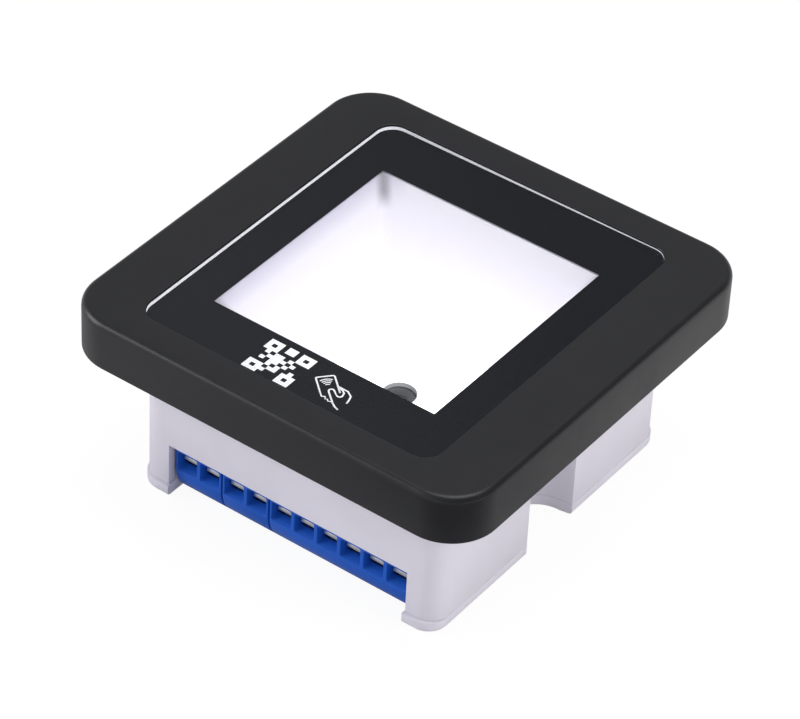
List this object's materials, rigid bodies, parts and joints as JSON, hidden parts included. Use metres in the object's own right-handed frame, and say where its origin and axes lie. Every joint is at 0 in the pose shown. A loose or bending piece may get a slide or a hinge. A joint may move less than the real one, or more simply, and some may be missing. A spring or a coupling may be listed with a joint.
{
  "type": "flush-mounted qr code and card reader",
  "caption": "Square flush-mounted code and card reader: black bezel, clear printed front over a lit box with a camera, white rear housing with blue screw terminals at the back.",
  "frame": {"origin": "middle of the rear cover's flat back, which it rests on", "axes": "+Z out of the clear front, -Y towards the screw terminals and the printed signs, X along the terminal row"},
  "size_m": [0.086, 0.086, 0.0402],
  "materials": {
    "black_abs": "satin black moulding, fine spark texture",
    "clear_acrylic": "polished clear sheet, border printed black behind",
    "foam_tape": "black foam tape",
    "zinc_steel": "bright zinc plated sheet",
    "antenna_black": "black solder mask",
    "cable_white": "white flat cable",
    "connector_cream": "cream nylon",
    "white_abs": "pale lilac-white moulding, satin",
    "reflector_white": "white diffuse moulding",
    "diffuser_opal": "opal sheet",
    "board_green": "green solder mask",
    "led_phosphor": "phosphor-filled package",
    "camera_black": "satin black moulding",
    "camera_glass": "coated dark lens",
    "terminal_blue": "blue nylon moulding",
    "tin_plate": "tin plated strip",
    "screw_nickel": "nickel plated steel",
    "screw_black": "black zinc plated steel",
    "chip_black": "moulded package",
    "ferrite_grey": "ferrite",
    "can_aluminium": "aluminium can"
  },
  "bodies": {
    "root": {"antenna_board": "antenna_black", "antenna_cable": "cable_white", "antenna_connector": "connector_cream", "bezel_frame": "black_abs", "board_screw_1": "screw_nickel", "board_screw_2": "screw_nickel", "bulk_capacitor": "can_aluminium", "buzzer": "chip_black", "camera_barrel": "camera_black", "camera_holder": "camera_black", "camera_lens": "camera_glass", "clamp_screw_01": "screw_nickel", "clamp_screw_02": "screw_nickel", "clamp_screw_03": "screw_nickel", "clamp_screw_04": "screw_nickel", "clamp_screw_05": "screw_nickel", "clamp_screw_06": "screw_nickel", "clamp_screw_07": "screw_nickel", "clamp_screw_08": "screw_nickel", "clamp_screw_09": "screw_nickel", "clamp_screw_10": "screw_nickel", "cover_screw_1": "screw_nickel", "cover_screw_2": "screw_nickel", "cover_screw_3": "screw_nickel", "cover_screw_4": "screw_nickel", "diffuser": "diffuser_opal", "front_lens": "clear_acrylic", "led_1": "led_phosphor", "led_2": "led_phosphor", "led_3": "led_phosphor", "led_4": "led_phosphor", "led_5": "led_phosphor", "led_6": "led_phosphor", "lens_tape": "foam_tape", "light_reflector": "reflector_white", "main_board": "board_green", "memory_chip": "chip_black", "mounting_plate": "zinc_steel", "plate_screw_1": "screw_black", "plate_screw_2": "screw_black", "plate_screw_3": "screw_black", "plate_screw_4": "screw_black", "power_inductor": "ferrite_grey", "processor_chip": "chip_black", "rear_cover": "white_abs", "rear_housing": "white_abs", "terminal_block_1": "terminal_blue", "terminal_block_2": "terminal_blue", "terminal_block_3": "terminal_blue", "terminal_contact_01": "tin_plate", "terminal_contact_02": "tin_plate", "terminal_contact_03": "tin_plate", "terminal_contact_04": "tin_plate", "terminal_contact_05": "tin_plate", "terminal_contact_06": "tin_plate", "terminal_contact_07": "tin_plate", "terminal_contact_08": "tin_plate", "terminal_contact_09": "tin_plate", "terminal_contact_10": "tin_plate"}
  },
  "joints": []
}
